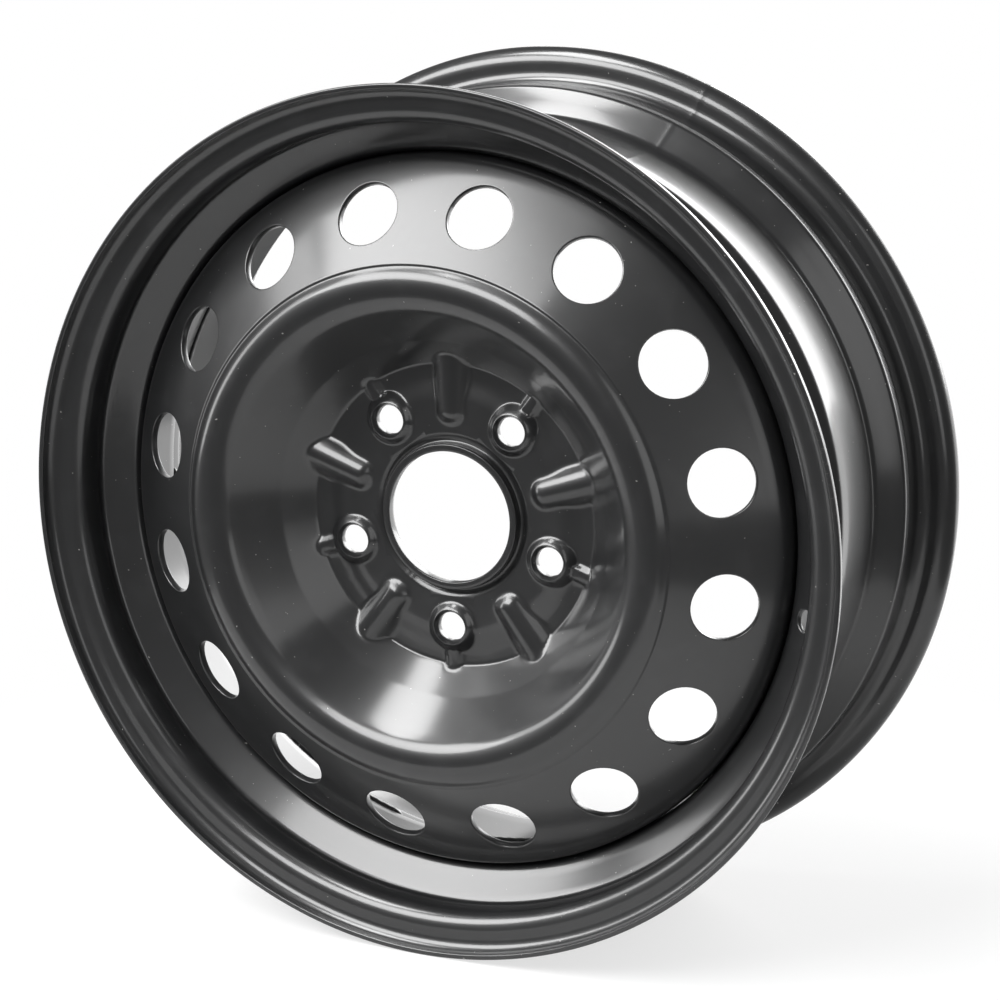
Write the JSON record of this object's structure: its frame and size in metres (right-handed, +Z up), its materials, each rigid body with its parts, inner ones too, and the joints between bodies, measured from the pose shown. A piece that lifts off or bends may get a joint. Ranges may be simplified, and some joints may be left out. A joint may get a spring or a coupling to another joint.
{
  "type": "steel wheel rim",
  "caption": "Pressed steel car wheel: a drop-centre rim hoop welded to a ribbed disc with bolt seats, vent holes and a centre bore.",
  "frame": {"origin": "wheel centre: on the spin axis, midway between the two bead flanges", "axes": "the spin axis is Y; -Y is the outboard (street) side, +Y the inboard (hub and brake) side; +Z is up, opposite one bolt hole; +X completes a right-handed frame"},
  "size_m": [0.4402, 0.173, 0.4402],
  "materials": {
    "rim_paint": "semi-gloss black paint with light orange peel",
    "disc_paint": "semi-gloss black paint with light orange peel",
    "weld_paint": "semi-gloss black paint over weld metal"
  },
  "bodies": {
    "root": {"rim_hoop": "rim_paint", "wheel_disc": "disc_paint", "weld_bead_1": "weld_paint", "weld_bead_2": "weld_paint", "weld_bead_3": "weld_paint", "weld_bead_4": "weld_paint", "weld_bead_5": "weld_paint", "weld_bead_6": "weld_paint", "weld_bead_7": "weld_paint", "weld_bead_8": "weld_paint"}
  },
  "joints": []
}
